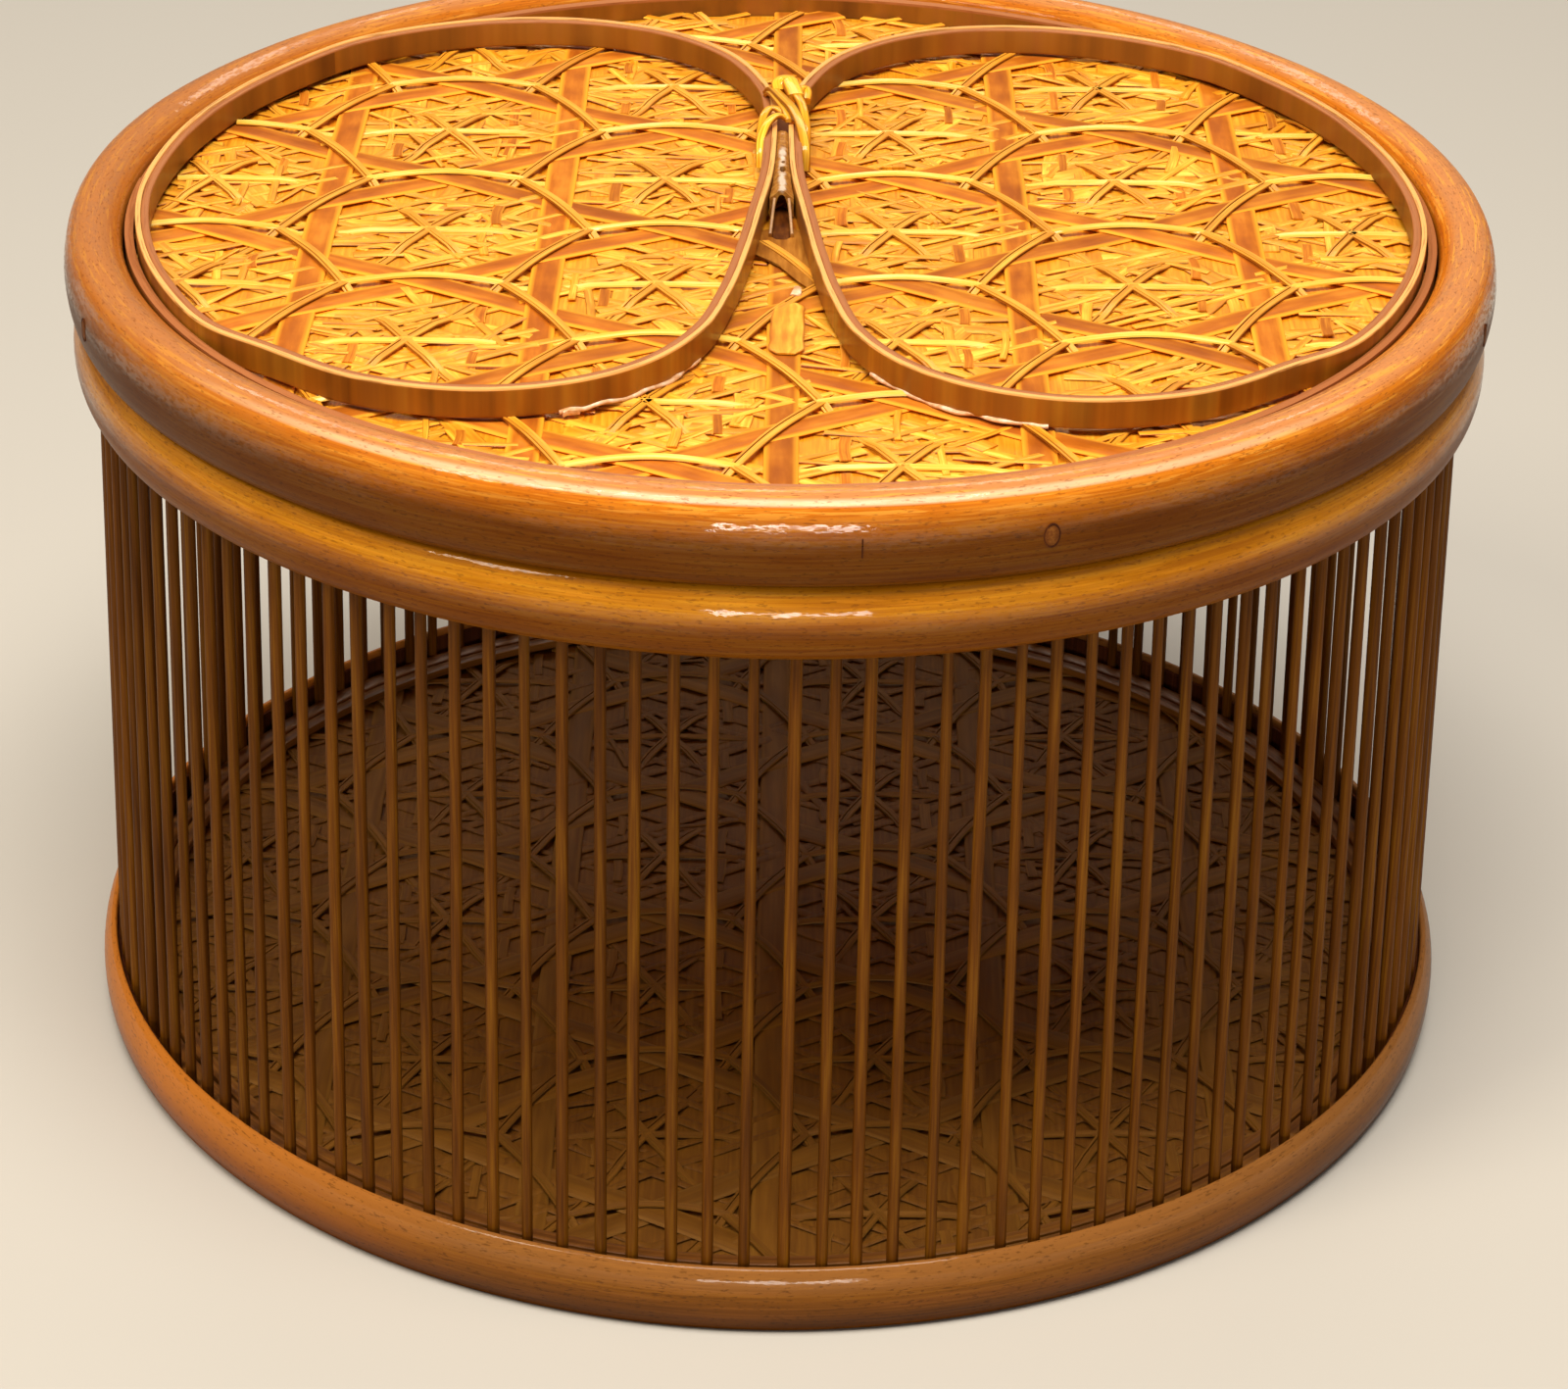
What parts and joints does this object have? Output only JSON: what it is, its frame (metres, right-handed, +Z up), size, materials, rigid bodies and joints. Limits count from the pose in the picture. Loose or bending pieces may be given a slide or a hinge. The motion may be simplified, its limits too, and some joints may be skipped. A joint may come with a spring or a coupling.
{
  "type": "lidded bamboo basket",
  "caption": "Round bamboo basket of thin upright rods held between bent hoops, with a woven floor and a lift-off lid with a six-eye woven panel and ribbon loops.",
  "frame": {"origin": "centre of the face that the basket stands on", "axes": "+Z up through the lid, -Y to the front; the two ribbon loops lie to -X and +X, and they are tied behind the lid's centre, towards +Y"},
  "size_m": [0.2324, 0.2326, 0.1444],
  "materials": {
    "hoop": "satin",
    "rod": "satin",
    "floor": "satin",
    "weave": "satin",
    "ribbon": "satin",
    "cane": "satin",
    "filler": "matte"
  },
  "bodies": {
    "basket": {"base_hoop_outer": "hoop", "rod_wall": "rod", "rim_hoop_outer": "hoop", "rim_hoop_inner": "hoop", "floor_support_hoop": "hoop", "floor_backing": "floor", "floor_weave": "floor", "floor_edge_hoop": "hoop"},
    "lid": {"lid_hoop_outer": "hoop", "lid_hoop_inner": "hoop", "lid_locating_hoop": "hoop", "lid_backing": "weave", "lid_weave": "weave", "ribbon_loop_left": "ribbon", "ribbon_loop_right": "ribbon", "loop_wedge": "filler", "lashing_strand_under": "cane", "lashing_strand_over": "cane", "lashing_knot": "cane", "lid_pin_front": "cane", "lid_pin_left": "cane", "lid_pin_right": "cane"}
  },
  "joints": [
    {"name": "lid_lift", "type": "slide", "parent": "basket", "child": "lid", "axis": [0, 0, 1], "range_m": [0, 0.08]}
  ]
}
